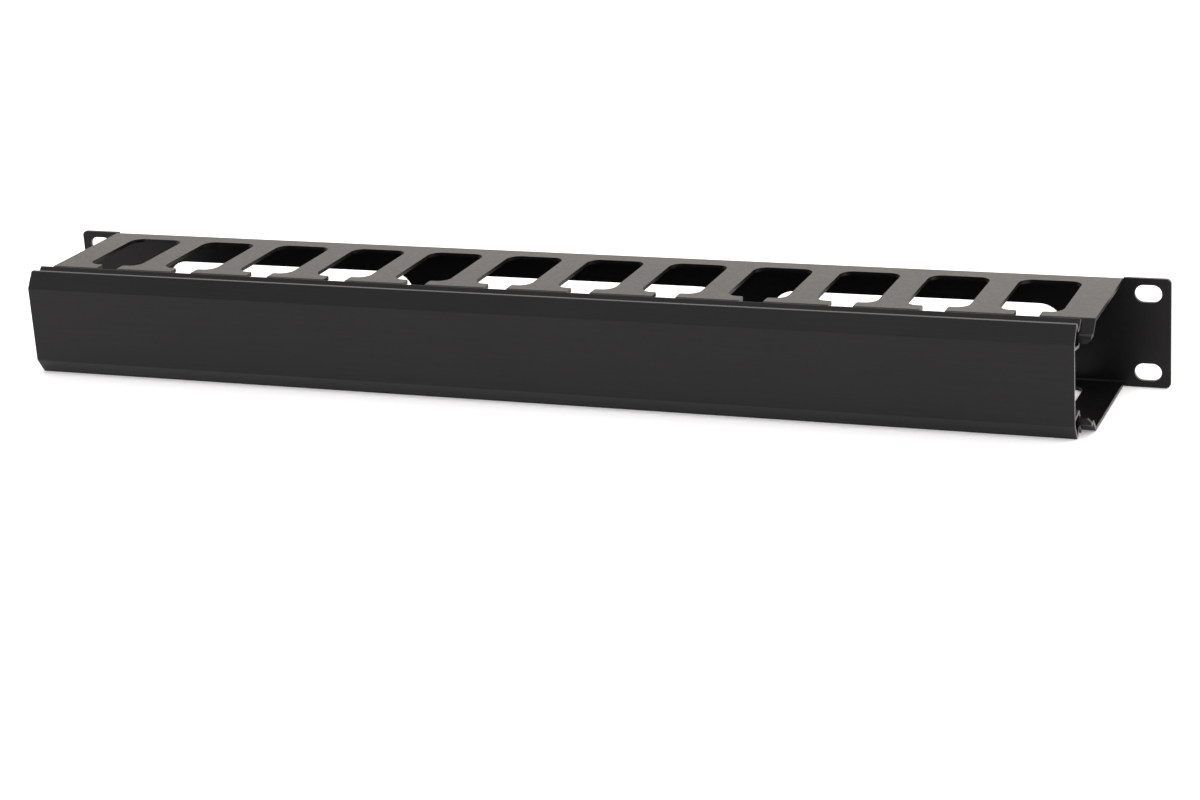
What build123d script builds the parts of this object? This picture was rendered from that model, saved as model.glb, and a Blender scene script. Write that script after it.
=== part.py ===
"""Horizontal cable manager for a 19-inch rack: a folded sheet-metal duct with an extruded front cover.

Millimetres, Z up. X runs along the rack's width and Y runs back into the rack, so the duct
reaches forward along -Y. The origin is the middle of the back plate's rear face, the face
that meets the rack rails.
"""
import math
import os

from build123d import *

# Rack interface, one rack unit high
panel_width = 482.6
panel_height = 44.0
panel_corner_radius = 2.0
ear_length = 18.3
rack_hole_inset_x = 8.75
rack_hole_inset_z = 6.125
rack_slot_length = 10.5
rack_slot_height = 7.0

# Folded sheet body
sheet = 1.5
flange_depth = 55.0
bend_radius = 1.0
lip_bend_radius = 1.5

# Cable windows in the back plate
window_count = 3
window_height = 20.0
window_bridge = 20.0
window_end_margin = 23.0

# Finger slots, the same in the top and the bottom flange
slot_count = 12
slot_end_margin = 25.8
stem_width = 11.35
slot_front_setback = 5.5
slot_rear_setback = 9.5
slot_corner_radius = 5.0
head_overhang = 7.4
mouth_corner_radius = 1.0

# Joggled lip at the front edge of each finger: a slope, a ledge and an upright tab
slope_run = 4.5
slope_drop = 4.3
ledge_run = 3.6
tab_height = 3.1
tab_corner_cut = 1.5

# Extruded cover
cover_offset = -5.0
cover_wall = 1.3
cover_reach = 5.9
cover_edge_rise = 0.3
cover_bevel_run = 4.3
cover_bevel_drop = 6.45
cover_land = 1.3
groove_floor = 1.4
snap_drop = 1.2
snap_reach = 1.2
snap_rise = 2.5
cover_fillet = 0.8
tip_radius = 0.45

# Clearances between the cover and the lips it runs on
lip_clearance = 0.4
tab_side_clearance = 0.5
tab_end_clearance = 1.3

half_height = panel_height / 2
rack_hole_pitch_x = panel_width - 2 * rack_hole_inset_x
rack_hole_pitch_z = panel_height - 2 * rack_hole_inset_z
body_length = panel_width - 2 * ear_length
window_row = body_length - 2 * window_end_margin
window_length = (window_row - (window_count - 1) * window_bridge) / window_count
window_pitch = window_length + window_bridge
slot_pitch = (body_length - 2 * slot_end_margin) / (slot_count - 1)
slot_width = slot_pitch - stem_width
mouth_width = slot_width - 2 * head_overhang
slot_depth = flange_depth - slot_front_setback - slot_rear_setback


def parallel(points, distance):
    """Returns the open polyline moved sideways by distance, to the right of its direction."""
    moved = []
    count = len(points)
    for index in range(count):
        normals = []
        for start in (index - 1, index):
            if start < 0 or start + 1 >= count:
                continue
            run = points[start + 1][0] - points[start][0]
            rise = points[start + 1][1] - points[start][1]
            length = math.hypot(run, rise)
            normals.append((rise / length, -run / length))
        across = sum(normal[0] for normal in normals)
        along = sum(normal[1] for normal in normals)
        scale = distance * len(normals) / (across * across + along * along)
        moved.append((points[index][0] + across * scale, points[index][1] + along * scale))
    return moved


def below(points):
    """Returns the polyline mirrored to the other side of the middle plane, in reversed order."""
    return [(point[0], -point[1]) for point in reversed(points)]


# Outer faces of the upper half of the folded section, as (y, z), from the plate to the tab's end
ledge_z = half_height - slope_drop
slope_end_y = -flange_depth - slope_run
tab_front_y = slope_end_y - ledge_run
tab_rear_y = tab_front_y + sheet
tab_end_z = ledge_z - tab_height
outer_faces = [
    (0.0, 0.0),
    (0.0, half_height),
    (-flange_depth, half_height),
    (slope_end_y, ledge_z),
    (tab_front_y, ledge_z),
    (tab_front_y, tab_end_z),
]
inner_faces = parallel(outer_faces, -sheet)
half_outline = outer_faces[1:] + inner_faces[:0:-1]
# Bends of the lip, each on the side where the sheet is stretched round its fold
lip_bends = [outer_faces[2], inner_faces[3], outer_faces[4]]

with BuildPart() as duct_body:
    # The folded channel, one sheet from the lower tab round the plate to the upper tab
    with BuildSketch(Plane.YZ.offset(-body_length / 2)) as folded_section:
        with BuildLine() as section_outline:
            Polyline(*half_outline, *below(half_outline), close=True)
        make_face()
        inside_corners = folded_section.vertices().filter_by(
            lambda corner: math.dist((corner.X, abs(corner.Y)), inner_faces[1]) < 0.01
        )
        fillet(inside_corners, bend_radius)
        outside_corners = folded_section.vertices().filter_by(
            lambda corner: math.dist((corner.X, abs(corner.Y)), outer_faces[1]) < 0.01
        )
        fillet(outside_corners, bend_radius + sheet)
        stretched_corners = folded_section.vertices().filter_by(
            lambda corner: min(math.dist((corner.X, abs(corner.Y)), bend) for bend in lip_bends) < 0.01
        )
        fillet(stretched_corners, lip_bend_radius)
    extrude(amount=body_length)

    # The two ears carry the plate on past the flanges, to the rack rails
    with BuildSketch(Plane.XZ) as ears:
        RectangleRounded(panel_width, panel_height, panel_corner_radius)
        Rectangle(body_length, panel_height + sheet, mode=Mode.SUBTRACT)
    extrude(amount=sheet)

    # Rack fixing slots
    with BuildSketch(Plane.XZ) as rack_slots:
        with GridLocations(rack_hole_pitch_x, rack_hole_pitch_z, 2, 2):
            SlotOverall(rack_slot_length, rack_slot_height)
    extrude(amount=sheet, mode=Mode.SUBTRACT)

    # Cable windows through the back plate
    with BuildSketch(Plane.XZ) as windows:
        with GridLocations(window_pitch, panel_height, window_count, 1):
            SlotOverall(window_length, window_height)
    extrude(amount=sheet, mode=Mode.SUBTRACT)

    # Finger slots, each with a narrower mouth that opens it to the front between two finger heads
    slot_front_y = -flange_depth + slot_front_setback
    mouth_reach = slot_front_y - tab_front_y + sheet
    first_slot_x = -(slot_count - 1) * slot_pitch / 2
    with BuildSketch(Plane.XY.offset(-half_height - sheet)) as finger_slots:
        with Locations((0, slot_front_y + slot_depth / 2)):
            with GridLocations(slot_pitch, slot_depth, slot_count, 1):
                RectangleRounded(slot_width, slot_depth, slot_corner_radius)
        with Locations((0, slot_front_y - mouth_reach / 2)):
            with GridLocations(slot_pitch, mouth_reach, slot_count, 1):
                Rectangle(mouth_width, mouth_reach)
        mouth_corners = finger_slots.vertices().filter_by(
            lambda corner: abs(corner.Y - slot_front_y) < 0.01
            and abs(math.remainder(corner.X - first_slot_x, slot_pitch)) < mouth_width / 2 + 0.01
        )
        fillet(mouth_corners, mouth_corner_radius)
    extrude(amount=panel_height + 2 * sheet, mode=Mode.SUBTRACT)

    # Cut corners at the end of every tab
    tab_corners = duct_body.edges().filter_by(Axis.Y).filter_by(
        lambda edge: edge.center().Y < -flange_depth and abs(abs(edge.center().Z) - tab_end_z) < 0.01
    )
    chamfer(tab_corners, tab_corner_cut)
duct_body.part.label = "duct_body"

# Skin of the cover's upper half, as (y, z): the flat face, the bevel above it and a narrow land on top
cover_length = body_length
cover_half_height = half_height + cover_edge_rise
cover_front_y = tab_front_y - cover_reach
skin_faces = [
    (cover_front_y, 0.0),
    (cover_front_y, cover_half_height - cover_bevel_drop),
    (cover_front_y + cover_bevel_run, cover_half_height),
    (cover_front_y + cover_bevel_run + cover_land, cover_half_height),
]
skin_line = parallel(skin_faces, cover_wall / 2)
land_line_z = cover_half_height - cover_wall / 2

# The groove's rear leg and floor lie over the lip's slope and ledge, one clearance away
groove_over_lip = parallel(outer_faces[1:5], lip_clearance + cover_wall / 2)
groove_corner = groove_over_lip[2]
leg_slope = slope_run / slope_drop
rim_z = half_height
rim = (groove_corner[0] + (rim_z - groove_corner[1]) * leg_slope, rim_z)
groove_front = (groove_corner[0] - groove_floor, groove_corner[1])

# The snap rib goes under the tab's end and rises behind it
rib_low = (
    tab_rear_y + tab_side_clearance + cover_wall / 2 - snap_reach / 4,
    tab_end_z - tab_end_clearance - cover_wall / 2,
)
rib_tip = (rib_low[0] + snap_reach, rib_low[1] + snap_rise)
rib_root = (skin_line[0][0], rib_low[1] + snap_drop)

with BuildPart() as front_cover:
    with BuildSketch(Plane.YZ.offset(cover_offset - cover_length / 2)) as cover_section:
        with BuildLine() as skin_path:
            half_path = skin_line[1:] + [groove_front, groove_corner, rim]
            Polyline(*(below(half_path) + half_path))
            turns = skin_path.vertices().filter_by(
                lambda corner: math.dist((corner.X, abs(corner.Y)), rim) > 0.01
                and abs(abs(corner.Y) - land_line_z) > 0.01
            )
            fillet(turns, cover_fillet)
        trace(line_width=cover_wall)
        land_corners = cover_section.vertices().filter_by(
            lambda corner: abs(abs(corner.Y) - cover_half_height) < 0.01
        )
        fillet(land_corners, tip_radius)
        with BuildLine() as upper_rib:
            Polyline(rib_root, rib_low, rib_tip)
            fillet(upper_rib.vertices().filter_by(lambda corner: math.dist((corner.X, corner.Y), rib_low) < 0.01),
                   cover_fillet)
        trace(line_width=cover_wall)
        with BuildLine() as lower_rib:
            Polyline(*below([rib_root, rib_low, rib_tip]))
            fillet(lower_rib.vertices().filter_by(lambda corner: math.dist((corner.X, -corner.Y), rib_low) < 0.01),
                   cover_fillet)
        trace(line_width=cover_wall)
        free_tips = cover_section.vertices().filter_by(
            lambda corner: min(
                math.dist((corner.X, abs(corner.Y)), rim),
                math.dist((corner.X, abs(corner.Y)), rib_tip),
            ) < cover_wall * 0.6
        )
        fillet(free_tips, tip_radius)
    extrude(amount=cover_length)
front_cover.part.label = "front_cover"

os.makedirs("parts", exist_ok=True)
export_step(duct_body.part, "parts/duct_body.step")
export_step(front_cover.part, "parts/front_cover.step")
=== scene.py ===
"""Finish of the horizontal cable manager: the painted sheet duct, the satin cover, and a plain stage.

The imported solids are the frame. Each piece here is a copy of one of them with its edges rounded as
paint and the extrusion die leave them, and a procedural finish. Metres, Z up, as in the frame.
"""

import math

import bmesh
import bpy
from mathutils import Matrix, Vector


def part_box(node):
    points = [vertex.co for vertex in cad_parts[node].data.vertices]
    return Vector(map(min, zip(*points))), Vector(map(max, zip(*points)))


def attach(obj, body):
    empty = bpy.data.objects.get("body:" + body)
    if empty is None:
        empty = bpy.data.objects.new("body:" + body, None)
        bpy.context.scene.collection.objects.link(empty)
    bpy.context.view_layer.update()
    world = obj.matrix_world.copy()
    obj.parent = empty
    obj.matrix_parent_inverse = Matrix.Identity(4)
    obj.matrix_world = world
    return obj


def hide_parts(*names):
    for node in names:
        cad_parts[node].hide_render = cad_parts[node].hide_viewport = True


bl_info = {
    "name": "Horizontal Cable Manager",
    "version": (1, 0, 0),
    "blender": (4, 5, 0),
    "location": "3D View > Sidebar > Cable Manager",
    "description": "Finishes a packed horizontal cable manager and sets it on a plain stage",
    "category": "Object",
}

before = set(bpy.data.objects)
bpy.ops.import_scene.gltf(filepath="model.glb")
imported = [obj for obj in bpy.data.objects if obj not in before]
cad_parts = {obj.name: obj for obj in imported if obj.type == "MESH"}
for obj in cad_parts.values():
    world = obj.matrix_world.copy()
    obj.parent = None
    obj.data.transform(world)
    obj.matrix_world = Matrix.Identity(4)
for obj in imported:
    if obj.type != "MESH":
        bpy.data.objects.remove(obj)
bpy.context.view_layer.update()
FLOOR_HEIGHT = min(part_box(node)[0].z for node in ("duct_body", "front_cover"))

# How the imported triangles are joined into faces, and which edges and faces are told apart
MERGE_DISTANCE = 2e-6
FLAT_ANGLE = math.radians(0.6)
SHARP_ANGLE = math.radians(28)
END_FACING = 0.99

# The range that nearly all of a noise pattern lies in, and the whole range of a factor
NOISE_RANGE = (0.3, 0.7)
WHOLE_RANGE = (0.0, 1.0)

# Places of the colour sockets on a Mix node, which shares their names with its other kinds
MIX_COLOURS = (6, 7)
MIX_RESULT = 2

# Heights where the surround's walls begin and end, from 0 at the horizon to 1 straight above
WALL_FOOT = 0.16
WALL_TOP = 0.55

# Where the surround's front colour ends and its rear colour begins, from -1 in front to 1 behind
COLOUR_TURN = (-0.6, 0.6)

# The photograph's camera, fitted to the rack's standard sizes: metres and degrees
SENSOR_WIDTH = 36.0
CAMERA_PLACE = (0.41806, -1.01427, 0.32724)
CAMERA_ANGLES = (71.3221, 3.5370, 21.1254)


class DuctFinish(bpy.types.PropertyGroup):
    """Sizes and colours of the painted sheet duct."""

    edge_radius: bpy.props.FloatProperty(
        name="Edge radius",
        description="Rounding that punching and paint leave on the sheet's edges",
        default=0.00022,
        min=0.00005,
        max=0.0005,
        precision=5,
        unit="LENGTH",
    )
    paint_colour: bpy.props.FloatVectorProperty(
        name="Paint colour",
        description="Colour of the powder paint",
        default=(0.0036, 0.0035, 0.0034),
        min=0.0,
        max=1.0,
        subtype="COLOR",
    )
    edge_highlight_and_mark_colour: bpy.props.FloatVectorProperty(
        name="Worn colour",
        # Colour painted along the rounded edges as a highlight, in uneven patches, and of the paint's
        # fine specks
        description="Colour that the paint has where its edges are rubbed",
        default=(0.060, 0.058, 0.055),
        min=0.0,
        max=1.0,
        subtype="COLOR",
    )
    roughness: bpy.props.FloatProperty(
        name="Roughness",
        description="Roughness of the powder paint",
        default=0.33,
        min=0.0,
        max=1.0,
        subtype="FACTOR",
    )


class CoverFinish(bpy.types.PropertyGroup):
    """Sizes and colours of the extruded cover."""

    edge_radius: bpy.props.FloatProperty(
        name="Edge radius",
        description="Rounding of the cover's sawn ends and of its small corners",
        default=0.00015,
        min=0.00005,
        max=0.0003,
        precision=5,
        unit="LENGTH",
    )
    skin_colour: bpy.props.FloatVectorProperty(
        name="Skin colour",
        description="Colour of the cover's satin skin",
        default=(0.0098, 0.0094, 0.0101),
        min=0.0,
        max=1.0,
        subtype="COLOR",
    )
    edge_highlight_and_mark_colour: bpy.props.FloatVectorProperty(
        name="Worn colour",
        # Colour painted along the skin's rounded edges as a highlight, and of its die lines
        description="Colour of the skin along its rubbed edges and its die lines",
        default=(0.034, 0.034, 0.036),
        min=0.0,
        max=1.0,
        subtype="COLOR",
    )
    sawn_colour: bpy.props.FloatVectorProperty(
        name="Sawn colour",
        description="Colour of the sawn ends",
        default=(0.17, 0.17, 0.175),
        min=0.0,
        max=1.0,
        subtype="COLOR",
    )
    roughness: bpy.props.FloatProperty(
        name="Roughness",
        description="Roughness of the satin skin",
        default=0.34,
        min=0.0,
        max=1.0,
        subtype="FACTOR",
    )


class StageSetup(bpy.types.PropertyGroup):
    """Floor, light and camera."""

    floor_size: bpy.props.FloatProperty(
        name="Floor size",
        description="Length of each side of the floor",
        default=12.0,
        min=1.0,
        unit="LENGTH",
    )
    floor_colour: bpy.props.FloatVectorProperty(
        name="Floor colour",
        description="Colour of the floor",
        default=(0.92, 0.92, 0.92),
        min=0.0,
        max=1.0,
        subtype="COLOR",
    )
    floor_glow: bpy.props.FloatProperty(
        name="Floor glow",
        description="Strength of the floor's own light, which keeps the shadow under the object thin",
        default=0.20,
        min=0.0,
    )
    horizon_strength: bpy.props.FloatProperty(
        name="Horizon strength",
        description="Strength of the surround at the height of the horizon",
        default=1.05,
        min=0.0,
    )
    wall_strength: bpy.props.FloatProperty(
        name="Wall strength",
        description="Strength of the surround's walls, a little above the horizon",
        default=1.58,
        min=0.0,
    )
    ceiling_strength: bpy.props.FloatProperty(
        name="Ceiling strength",
        description="Strength of the surround straight above",
        default=1.78,
        min=0.0,
    )
    side_lean: bpy.props.FloatProperty(
        name="Side lean",
        description="How much brighter the surround is towards the object's right end",
        default=0.60,
        min=0.0,
        max=1.0,
        subtype="FACTOR",
    )
    rear_lean: bpy.props.FloatProperty(
        name="Rear lean",
        description="How much brighter the surround is behind the object than before it",
        default=0.28,
        min=0.0,
        max=1.0,
        subtype="FACTOR",
    )
    front_colour: bpy.props.FloatVectorProperty(
        name="Front colour",
        description="Colour of the surround's light before the object",
        default=(0.99, 0.98, 1.0),
        min=0.0,
        max=1.0,
        subtype="COLOR",
    )
    rear_colour: bpy.props.FloatVectorProperty(
        name="Rear colour",
        description="Colour of the surround's light behind the object",
        default=(1.0, 0.935, 0.88),
        min=0.0,
        max=1.0,
        subtype="COLOR",
    )
    lens: bpy.props.FloatProperty(
        name="Lens",
        description="Focal length of the camera",
        default=82.247,
        min=10.0,
        unit="CAMERA",
    )


class Nodes:
    """A small helper that adds nodes to a material or a world and links them."""

    def __init__(self, owner):
        owner.use_nodes = True
        self.tree = owner.node_tree
        self.coordinates = self.add("ShaderNodeTexCoord").outputs

    def add(self, kind, **settings):
        node = self.tree.nodes.new(kind)
        for key, value in settings.items():
            setattr(node, key, value)
        return node

    def put(self, value, socket):
        """Links another node's output to the socket, or sets it to a number or a colour."""
        if isinstance(value, bpy.types.NodeSocket):
            self.tree.links.new(value, socket)
        elif isinstance(value, (int, float)):
            socket.default_value = value
        else:
            socket.default_value = (*value, 1.0)

    def fill(self, node, **sockets):
        """Fills the node's sockets by their names, with an underscore for each space."""
        for name, value in sockets.items():
            self.put(value, node.inputs[name.replace("_", " ")])

    def stretched(self, scale):
        """Object coordinates scaled by the three numbers."""
        mapping = self.add("ShaderNodeMapping")
        mapping.inputs["Scale"].default_value = scale
        self.fill(mapping, Vector=self.coordinates["Object"])
        return mapping.outputs["Vector"]

    def noise(self, vector, scale, detail=3.0, roughness=0.5):
        node = self.add("ShaderNodeTexNoise")
        self.fill(node, Vector=vector, Scale=scale, Detail=detail, Roughness=roughness)
        return node.outputs["Fac"]

    def spread(self, value, among, to):
        """The value carried from one range to another and held inside it."""
        node = self.add("ShaderNodeMapRange")
        self.fill(node, Value=value, From_Min=among[0], From_Max=among[1], To_Min=to[0], To_Max=to[1])
        return node.outputs["Result"]

    def maths(self, operation, *values):
        node = self.add("ShaderNodeMath", operation=operation)
        for value, socket in zip(values, node.inputs):
            self.put(value, socket)
        return node.outputs["Value"]

    def mixed(self, factor, first, second):
        """The first colour, turning to the second as the factor goes to one."""
        node = self.add("ShaderNodeMix", data_type="RGBA")
        self.fill(node, Factor=factor)
        for value, place in zip((first, second), MIX_COLOURS):
            self.put(value, node.inputs[place])
        return node.outputs[MIX_RESULT]

    def attribute(self, name):
        return self.add("ShaderNodeAttribute", attribute_name=name).outputs["Fac"]

    def bump(self, height, strength, distance):
        node = self.add("ShaderNodeBump")
        self.fill(node, Height=height, Strength=strength, Distance=distance)
        return node

    def finish(self, **sockets):
        self.fill(self.tree.nodes["Principled BSDF"], **sockets)


def tinted(colour, share):
    """The colour darkened or lightened by the share."""
    return tuple(min(1.0, channel * share) for channel in colour)


def powder_paint(settings):
    """Satin powder paint on sheet steel: fine orange peel, faint clouds, fine specks and a painted
    highlight along the rounded edges.
    """
    material = bpy.data.materials.new("powder_paint")
    nodes = Nodes(material)
    place = nodes.coordinates["Object"]
    clouds = nodes.noise(place, scale=22.0, detail=5.0, roughness=0.65)
    peel = nodes.noise(place, scale=700.0, detail=3.0, roughness=0.55)
    grain = nodes.noise(place, scale=3200.0, detail=2.0, roughness=0.6)
    highlight_patchiness = nodes.noise(place, scale=160.0)

    darker = tinted(settings.paint_colour, share=0.82)
    lighter = tinted(settings.paint_colour, share=1.16)
    cloudy = nodes.mixed(nodes.spread(clouds, among=NOISE_RANGE, to=WHOLE_RANGE), darker, lighter)
    specks = nodes.spread(grain, among=(0.66, 0.78), to=(0.0, 0.35))
    speckled = nodes.mixed(specks, cloudy, settings.edge_highlight_and_mark_colour)
    # Painted highlight: the rounded edges are lightened towards the highlight colour, unevenly in
    # patches
    patches = nodes.spread(highlight_patchiness, among=(0.35, 0.7), to=(0.25, 1.0))
    edge_highlight = nodes.maths("MULTIPLY", nodes.attribute("edge"), patches)
    colour = nodes.mixed(edge_highlight, speckled, settings.edge_highlight_and_mark_colour)

    cloud_swing = 0.012
    peel_swing = 0.03
    least = settings.roughness - cloud_swing
    most = settings.roughness + cloud_swing
    dull = nodes.spread(clouds, among=NOISE_RANGE, to=(least, most))
    uneven = nodes.spread(peel, among=NOISE_RANGE, to=(-peel_swing, peel_swing))
    roughness = nodes.maths("ADD", dull, uneven)

    peel_bump = nodes.bump(peel, strength=0.30, distance=0.00012)
    grain_bump = nodes.bump(grain, strength=0.20, distance=0.00005)
    nodes.fill(grain_bump, Normal=peel_bump.outputs["Normal"])
    nodes.finish(
        Base_Color=colour,
        Roughness=roughness,
        Normal=grain_bump.outputs["Normal"],
        Metallic=0.0,
        IOR=1.5,
        Specular_IOR_Level=0.18,
    )
    return material


def satin_skin(settings):
    """Black satin skin of the extrusion, with the die's faint lines along its length, a painted
    highlight along its rounded edges, and sawn ends.
    """
    material = bpy.data.materials.new("satin_skin")
    nodes = Nodes(material)
    place = nodes.coordinates["Object"]
    along = nodes.stretched((0.6, 60.0, 60.0))
    across = nodes.stretched((1.0, 30.0, 3.0))
    die_lines = nodes.noise(along, scale=38.0, detail=3.0, roughness=0.65)
    saw_marks = nodes.noise(across, scale=120.0, detail=2.0, roughness=0.5)
    clouds = nodes.noise(place, scale=10.0, detail=4.0, roughness=0.6)
    grain = nodes.noise(place, scale=1500.0, detail=3.0, roughness=0.6)
    highlight_patchiness = nodes.noise(place, scale=180.0)

    darker = tinted(settings.skin_colour, share=0.88)
    lighter = tinted(settings.skin_colour, share=1.10)
    cloudy = nodes.mixed(nodes.spread(clouds, among=NOISE_RANGE, to=WHOLE_RANGE), darker, lighter)
    faint = nodes.spread(die_lines, among=(0.50, 0.75), to=(0.0, 0.10))
    lined = nodes.mixed(faint, cloudy, settings.edge_highlight_and_mark_colour)
    # Painted highlight: the skin's rounded edges are lightened towards the highlight colour, unevenly
    # in patches
    patches = nodes.spread(highlight_patchiness, among=(0.35, 0.7), to=(0.15, 0.8))
    edge_highlight = nodes.maths("MULTIPLY", nodes.attribute("edge"), patches)
    skin = nodes.mixed(edge_highlight, lined, settings.edge_highlight_and_mark_colour)
    marked = nodes.spread(saw_marks, among=NOISE_RANGE, to=(0.6, 1.0))
    ends = nodes.maths("MULTIPLY", nodes.attribute("sawn"), marked)
    colour = nodes.mixed(ends, skin, settings.sawn_colour)

    cloud_swing = 0.03
    line_swing = 0.03
    least = settings.roughness - cloud_swing
    most = settings.roughness + cloud_swing
    dull = nodes.spread(clouds, among=NOISE_RANGE, to=(least, most))
    uneven = nodes.spread(die_lines, among=NOISE_RANGE, to=(-line_swing, line_swing))
    roughness = nodes.maths("ADD", dull, uneven)

    line_bump = nodes.bump(die_lines, strength=0.08, distance=0.00006)
    grain_bump = nodes.bump(grain, strength=0.22, distance=0.00005)
    nodes.fill(grain_bump, Normal=line_bump.outputs["Normal"])
    nodes.finish(
        Base_Color=colour,
        Roughness=roughness,
        Normal=grain_bump.outputs["Normal"],
        Metallic=0.0,
        IOR=1.5,
        Specular_IOR_Level=0.16,
    )
    return material


def floor_paper(settings):
    """Pale paper with a faint unevenness and a soft light of its own."""
    material = bpy.data.materials.new("floor_paper")
    nodes = Nodes(material)
    uneven = nodes.noise(nodes.coordinates["Object"], scale=3.0)
    pale = settings.floor_colour
    nodes.finish(
        Base_Color=nodes.mixed(uneven, pale, tinted(pale, share=1.02)),
        Roughness=0.9,
        Emission_Color=pale,
        Emission_Strength=settings.floor_glow,
    )
    return material


def rounded_copy(node, name, radius):
    """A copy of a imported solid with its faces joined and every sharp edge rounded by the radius.

    The point attribute "edge" is one along the middle of each rounding, and "sawn" is one on the
    flat faces across X, which on the cover are its sawn ends.
    """
    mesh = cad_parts[node].data.copy()
    mesh.name = name
    mesh.materials.clear()
    shape = bmesh.new()
    shape.from_mesh(mesh)
    edge_layer = shape.verts.layers.float.new("edge")
    sawn_layer = shape.verts.layers.float.new("sawn")
    bmesh.ops.remove_doubles(shape, verts=shape.verts, dist=MERGE_DISTANCE)
    bmesh.ops.dissolve_limit(
        shape,
        angle_limit=FLAT_ANGLE,
        use_dissolve_boundaries=False,
        verts=shape.verts,
        edges=shape.edges,
        delimit=set(),
    )
    sharp = [
        edge
        for edge in shape.edges
        if edge.is_manifold and edge.calc_face_angle(0.0) > SHARP_ANGLE
    ]
    rounded = bmesh.ops.bevel(
        shape,
        geom=sharp,
        offset=radius,
        offset_type="OFFSET",
        segments=2,
        profile=0.5,
        affect="EDGES",
        clamp_overlap=True,
        material=-1,
        loop_slide=True,
    )
    strips = set(rounded["faces"])
    for vertex in rounded["verts"]:
        if all(face in strips for face in vertex.link_faces):
            vertex[edge_layer] = 1.0
    for face in shape.faces:
        face.smooth = True
        if face not in strips and abs(face.normal.x) > END_FACING:
            for vertex in face.verts:
                vertex[sawn_layer] = 1.0
    # Each point leans with its largest faces, so the flats stay flat and only the roundings turn
    leaning = []
    for vertex in shape.verts:
        total = Vector((0.0, 0.0, 0.0))
        for face in vertex.link_faces:
            total += face.normal * face.calc_area()
        leaning.append(total.normalized())
    shape.to_mesh(mesh)
    shape.free()
    mesh.normals_split_custom_set_from_vertices(leaning)
    piece = bpy.data.objects.new(name, mesh)
    bpy.context.scene.collection.objects.link(piece)
    return piece


class MakeDuct(bpy.types.Operator):
    """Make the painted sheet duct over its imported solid"""

    bl_idname = "cable_manager.make_duct"
    bl_label = "Painted duct"

    def execute(self, context):
        settings = context.scene.duct_finish
        piece = rounded_copy("duct_body", "painted_duct", settings.edge_radius)
        piece.data.materials.append(powder_paint(settings))
        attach(piece, "duct")
        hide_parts("duct_body")
        return {"FINISHED"}


class MakeCover(bpy.types.Operator):
    """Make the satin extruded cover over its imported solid"""

    bl_idname = "cable_manager.make_cover"
    bl_label = "Extruded cover"

    def execute(self, context):
        settings = context.scene.cover_finish
        piece = rounded_copy("front_cover", "satin_cover", settings.edge_radius)
        piece.data.materials.append(satin_skin(settings))
        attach(piece, "cover")
        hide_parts("front_cover")
        return {"FINISHED"}


def studio_surround(settings):
    """A soft studio all round, dimmest at the horizon and brightest above, that leans to one side."""
    world = bpy.data.worlds.new("surround")
    nodes = Nodes(world)
    direction = nodes.coordinates["Generated"]
    parts = nodes.add("ShaderNodeSeparateXYZ")
    nodes.fill(parts, Vector=direction)

    by_height = nodes.add("ShaderNodeFloatCurve")
    nodes.fill(by_height, Value=parts.outputs["Z"])
    brightest = max(settings.horizon_strength, settings.wall_strength, settings.ceiling_strength)
    curve = by_height.mapping.curves[0]
    curve.points[0].location = (0.0, settings.horizon_strength / brightest)
    curve.points[1].location = (1.0, settings.ceiling_strength / brightest)
    for height in (WALL_FOOT, WALL_TOP):
        curve.points.new(height, settings.wall_strength / brightest)
    by_height.mapping.update()

    lean = nodes.add("ShaderNodeVectorMath", operation="DOT_PRODUCT")
    nodes.put(direction, lean.inputs[0])
    lean.inputs[1].default_value = (settings.side_lean, settings.rear_lean, 0.0)
    leaning = nodes.maths("MULTIPLY_ADD", lean.outputs["Value"], brightest, brightest)
    strength = nodes.maths("MULTIPLY", by_height.outputs["Value"], leaning)

    rearward = nodes.spread(parts.outputs["Y"], among=COLOUR_TURN, to=WHOLE_RANGE)
    colour = nodes.mixed(rearward, settings.front_colour, settings.rear_colour)
    nodes.fill(nodes.tree.nodes["Background"], Strength=strength, Color=colour)
    return world


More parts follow.
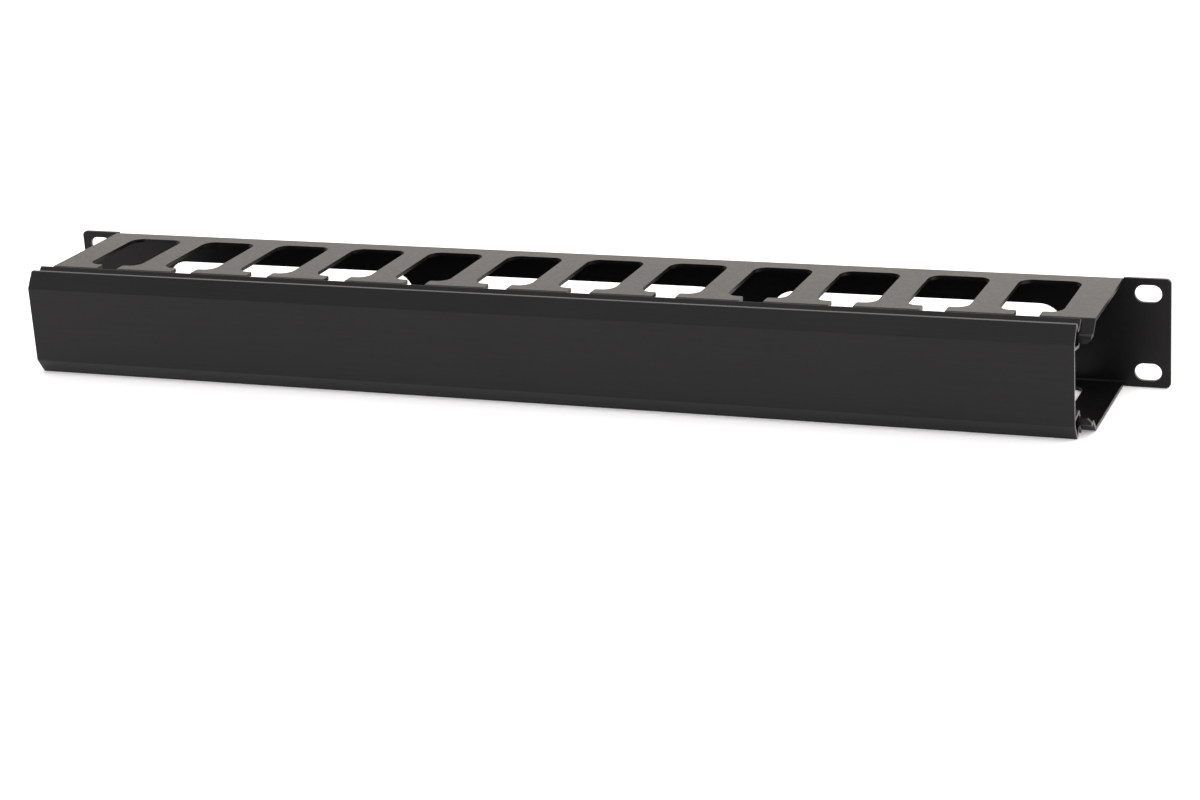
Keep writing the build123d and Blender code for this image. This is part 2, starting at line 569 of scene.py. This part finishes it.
def pale_floor(settings):
    """A flat square of paper at the height of the object's lowest point."""
    mesh = bpy.data.meshes.new("floor")
    shape = bmesh.new()
    bmesh.ops.create_grid(shape, x_segments=1, y_segments=1, size=settings.floor_size / 2)
    bmesh.ops.translate(shape, verts=shape.verts, vec=(0.0, 0.0, FLOOR_HEIGHT))
    shape.to_mesh(mesh)
    shape.free()
    mesh.materials.append(floor_paper(settings))
    floor = bpy.data.objects.new("floor", mesh)
    bpy.context.scene.collection.objects.link(floor)
    return floor


def fitted_camera(settings):
    """The camera at the photograph's viewing angle."""
    optics = bpy.data.cameras.new("camera")
    optics.sensor_width = SENSOR_WIDTH
    optics.lens = settings.lens
    camera = bpy.data.objects.new("camera", optics)
    camera.location = CAMERA_PLACE
    camera.rotation_euler = tuple(math.radians(angle) for angle in CAMERA_ANGLES)
    bpy.context.scene.collection.objects.link(camera)
    return camera


class MakeStage(bpy.types.Operator):
    """Make the pale floor, the soft studio light and the camera"""

    bl_idname = "cable_manager.make_stage"
    bl_label = "Stage"

    def execute(self, context):
        settings = context.scene.stage_setup
        scene = context.scene
        floor = pale_floor(settings)
        scene.world = studio_surround(settings)
        scene.view_settings.view_transform = "Standard"
        scene.camera = fitted_camera(settings)
        return {"FINISHED"}


# In the panel's order: the name of each group of settings, the group, and the operator that reads it
PIECES = (
    ("duct_finish", DuctFinish, MakeDuct),
    ("cover_finish", CoverFinish, MakeCover),
    ("stage_setup", StageSetup, MakeStage),
)


class CableManagerPanel(bpy.types.Panel):
    """Lists the pieces of the cable manager"""

    bl_idname = "VIEW3D_PT_cable_manager"
    bl_label = "Cable Manager"
    bl_space_type = "VIEW_3D"
    bl_region_type = "UI"
    bl_category = "Cable Manager"

    def draw(self, context):
        for name, group, operator in PIECES:
            box = self.layout.box()
            settings = getattr(context.scene, name)
            for key in group.__annotations__:
                box.prop(settings, key)
            box.operator(operator.bl_idname)


def register():
    for name, group, operator in PIECES:
        bpy.utils.register_class(group)
        setattr(bpy.types.Scene, name, bpy.props.PointerProperty(type=group))
        bpy.utils.register_class(operator)
    bpy.utils.register_class(CableManagerPanel)


def unregister():
    bpy.utils.unregister_class(CableManagerPanel)
    for name, group, operator in reversed(PIECES):
        bpy.utils.unregister_class(operator)
        delattr(bpy.types.Scene, name)
        bpy.utils.unregister_class(group)


def main():
    register()
    bpy.ops.cable_manager.make_stage()
    bpy.ops.cable_manager.make_duct()
    bpy.ops.cable_manager.make_cover()


if __name__ == "__main__":
    main()
